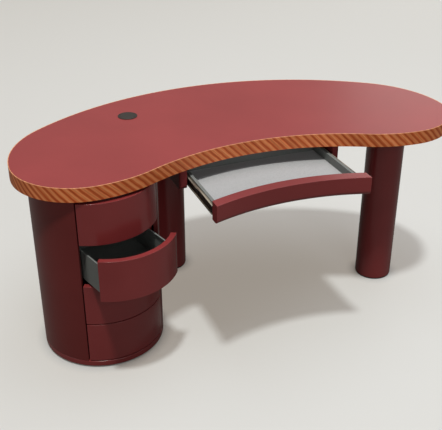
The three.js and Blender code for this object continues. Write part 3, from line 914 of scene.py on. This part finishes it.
# Floor, light and camera
stage = {
    "floorSize": 60,
    "floorColour": "#adb4b8",
    "floorGlow": "#91887d",     # lifts the shadow on the floor, for the camera and reflections alone
    "contactShadeReach": 0.045,      # metres within which the floor's glow dims beside a foot, a painted contact shade
    "contactSamples": 8,
    "floorBounce": "#595753",   # what the floor throws back at the desk's upright faces
    "ambient": 0.06,
    "ambientColour": "#f4f3f2",
    "backdrop": 0.62,
    "backdropColour": "#e9e6e1",
    "floorShare": 0.2,          # how much of the pale floor a reflection shows
    "backdropShare": 0.5,       # and how much of the pale backdrop
}
lamps = {
    "keyLamp": {
        "kind": "SUN", "place": (-0.76, -1.28, 6.0), "size": 5, "strength": 2.0, "colour": "#fffaf2",
    },
    "softBox": {
        "kind": "AREA", "place": (1.2, 0.2, 5.5), "size": 5, "strength": 140, "colour": "#fbfbff",
    },
    "fillLamp": {
        "kind": "AREA", "place": (0.1, -5.4, 2.7), "size": 3, "strength": 59, "colour": "#fffdfa",
    },
    "sideLamp": {
        "kind": "AREA", "place": (-5.2, -1.2, 1.5), "size": 3, "strength": 22, "colour": "#fffaf4",
    },
    "rimLamp": {
        "kind": "AREA", "place": (5.0, 4.6, 2.6), "size": 3, "strength": 30, "colour": "#fff8f4",
    },
}
camera = {
    "place": (-1.132, -2.6507, 1.9195),
    "pitch": 61.48,
    "heading": -21.9,
    "focalLength": 64.8,
    "sensor": 36,
}


# The camera sees the pale floor and the backdrop, reflections show part of them, and the light on the
# desk stays plain
def mixForView(tree, plain, seen, share):
    path = addNode(tree, "ShaderNodeLightPath")
    mirrored = addNode(
        tree, "ShaderNodeMath",
        {"operation": "MULTIPLY", 1: share},
        {0: path.outputs["Is Glossy Ray"]},
    )
    either = addNode(
        tree, "ShaderNodeMath",
        {"operation": "MAXIMUM"},
        {0: path.outputs["Is Camera Ray"], 1: mirrored.outputs["Value"]},
    )
    mix = addNode(tree, "ShaderNodeMixShader", links={0: either.outputs["Value"], 1: plain, 2: seen})
    return mix.outputs["Shader"]


def buildStage():
    bpy.ops.object.select_all(action="DESELECT")
    bpy.ops.mesh.primitive_plane_add(size=stage["floorSize"])
    floor = bpy.context.object
    floor.name = "floor"
    material = bpy.data.materials.new("pale floor")
    material.use_nodes = True
    tree = material.node_tree
    tree.nodes.remove(tree.nodes["Principled BSDF"])
    bounced = addNode(tree, "ShaderNodeBsdfDiffuse", {"Color": linearColour(stage["floorBounce"])})
    lit = addNode(tree, "ShaderNodeBsdfDiffuse", {"Color": linearColour(stage["floorColour"])})
    contact = {"Distance": stage["contactShadeReach"], "samples": stage["contactSamples"]}
    # The floor's glow dims near the desk, a painted contact shade
    contactShade = addNode(tree, "ShaderNodeAmbientOcclusion", contact)
    glow = addNode(
        tree, "ShaderNodeEmission",
        {"Color": linearColour(stage["floorGlow"])},
        {"Strength": contactShade.outputs["AO"]},
    )
    pale = addNode(tree, "ShaderNodeAddShader", links={0: lit.outputs["BSDF"], 1: glow.outputs["Emission"]})
    mix = mixForView(tree, bounced.outputs["BSDF"], pale.outputs["Shader"], stage["floorShare"])
    tree.links.new(mix, tree.nodes["Material Output"].inputs["Surface"])
    floor.data.materials.append(material)
    world = bpy.data.worlds.new("studio")
    bpy.context.scene.world = world
    world.use_nodes = True
    tree = world.node_tree
    light = tree.nodes["Background"]
    light.inputs["Color"].default_value = linearColour(stage["ambientColour"])
    light.inputs["Strength"].default_value = stage["ambient"]
    seen = {"Color": linearColour(stage["backdropColour"]), "Strength": stage["backdrop"]}
    backdrop = addNode(tree, "ShaderNodeBackground", seen).outputs["Background"]
    mix = mixForView(tree, light.outputs["Background"], backdrop, stage["backdropShare"])
    tree.links.new(mix, tree.nodes["World Output"].inputs["Surface"])


def buildLamps():
    target = Vector()
    for name, lamp in lamps.items():
        bpy.ops.object.light_add(type=lamp["kind"], location=lamp["place"])
        light = bpy.context.object
        light.name = name
        light.data.energy = lamp["strength"]
        light.data.color = linearColour(lamp["colour"])[:3]
        if lamp["kind"] == "SUN":
            light.data.angle = math.radians(lamp["size"])
        else:
            light.data.size = lamp["size"]
        light.rotation_euler = (Vector(lamp["place"]) - target).to_track_quat("Z", "Y").to_euler()


def buildCamera():
    data = bpy.data.cameras.new("camera")
    seat = bpy.data.objects.new("camera", data)
    bpy.context.scene.collection.objects.link(seat)
    seat.location = camera["place"]
    seat.rotation_euler = (math.radians(camera["pitch"]), 0, math.radians(camera["heading"]))
    data.lens = camera["focalLength"]
    data.sensor_width = camera["sensor"]
    bpy.context.scene.camera = seat


buildStage()
buildLamps()
buildCamera()
bpy.context.scene.view_settings.view_transform = "Standard"
print("stage, light and camera made")
